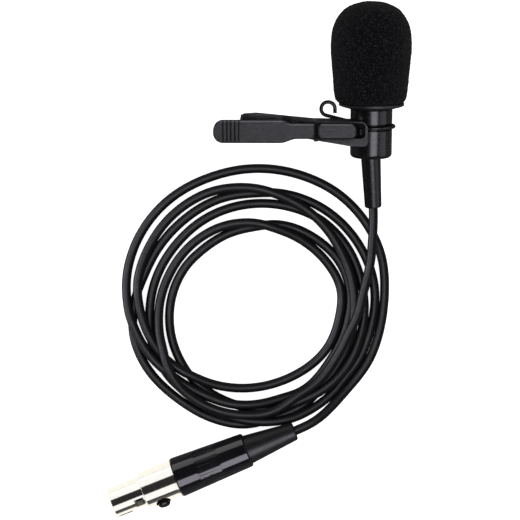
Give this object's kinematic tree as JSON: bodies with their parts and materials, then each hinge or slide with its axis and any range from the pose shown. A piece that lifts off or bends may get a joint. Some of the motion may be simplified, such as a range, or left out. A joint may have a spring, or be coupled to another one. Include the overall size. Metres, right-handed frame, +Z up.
{
  "type": "lavalier microphone",
  "caption": "Clip-on lavalier microphone with a foam windscreen, rotating tie clip, coiled cable and locking mini connector.",
  "frame": {"origin": "centre of the bounding box of the microphone head and its clip, on the surface they lie on", "axes": "+Y from the cable boot to the windscreen's tip, level; +Z up; the clip's arm points to -X"},
  "size_m": [0.0821, 0.1393, 0.0223],
  "materials": {
    "foam": "open-cell foam, matt",
    "snap_ring_plastic": "satin moulded",
    "barrel_metal": "semi-gloss black lacquer on turned brass",
    "grille_metal": "matt black perforated sheet",
    "felt": "felt",
    "can_metal": "drawn can",
    "gasket_rubber": "soft rubber",
    "diaphragm_metal": "gold-coated film on a brass ring",
    "back_plate_metal": "perforated",
    "board": "circuit board",
    "wire_insulation": "thin insulation",
    "ferrule_metal": "crimped",
    "boot_rubber": "satin moulded",
    "cable_jacket": "matt flexible jacket",
    "clip_plastic": "fine satin, dark charcoal",
    "nickel_wire": "nickel-plated spring wire",
    "steel": "plain steel",
    "shell_lacquer": "gloss black",
    "nickel": "satin nickel plate",
    "insert_plastic": "moulded insulator",
    "contact_metal": "gold-plated",
    "button_plastic": "gloss moulded"
  },
  "bodies": {
    "microphone": {"barrel": "barrel_metal", "front_grille": "grille_metal", "felt_disc": "felt", "capsule_can": "can_metal", "capsule_gasket": "gasket_rubber", "capsule_diaphragm": "diaphragm_metal", "capsule_back_plate": "back_plate_metal", "capsule_board": "board", "lead_wires": "wire_insulation", "cable_ferrule": "ferrule_metal", "boot_relief": "boot_rubber", "boot_cable_core": "cable_jacket", "cable_lead": "cable_jacket", "cable_coil": "cable_jacket", "cable_tail": "cable_jacket", "back_shell": "shell_lacquer", "collar_ring": "nickel", "nose_shell": "nickel", "contact_insert": "insert_plastic", "socket_contacts": "contact_metal", "latch_spring": "steel", "cable_clamp": "insert_plastic", "flex_relief": "boot_rubber", "plug_cable_core": "cable_jacket"},
    "windscreen": {"foam_windscreen": "foam", "windscreen_snap_ring": "snap_ring_plastic"},
    "clip": {"clip_base": "clip_plastic", "pivot_pin": "steel", "wire_ring": "nickel_wire", "wire_stud": "nickel_wire", "torsion_spring": "steel"},
    "lever": {"clip_lever": "clip_plastic"},
    "latch": {"latch_leaf": "steel", "latch_button": "button_plastic"}
  },
  "joints": [
    {"name": "windscreen_slide", "type": "slide", "parent": "microphone", "child": "windscreen", "axis": [0, 0.9877, 0.1564], "range_m": [0, 0.012]},
    {"name": "clip_swivel", "type": "hinge", "parent": "microphone", "child": "clip", "pos_m": [0.0162, -0.0056, 0.0081], "axis": [0, 0.9877, 0.1564], "continuous": true},
    {"name": "lever_pivot", "type": "hinge", "parent": "clip", "child": "lever", "pos_m": [0.0012, -0.00666, 0.0134], "axis": [0, 0.9877, 0.1564], "range_deg": [0, 14], "stiffness_Nm_per_rad": 0.02, "springref_deg": -68.75, "deforming": ["torsion_spring"]},
    {"name": "latch_press", "type": "slide", "parent": "microphone", "child": "latch", "axis": [-0.2706, 0.6794, -0.682], "range_m": [0, 0.0006], "stiffness_N_per_m": 60, "springref_m": -0.03, "deforming": ["latch_spring"]}
  ]
}
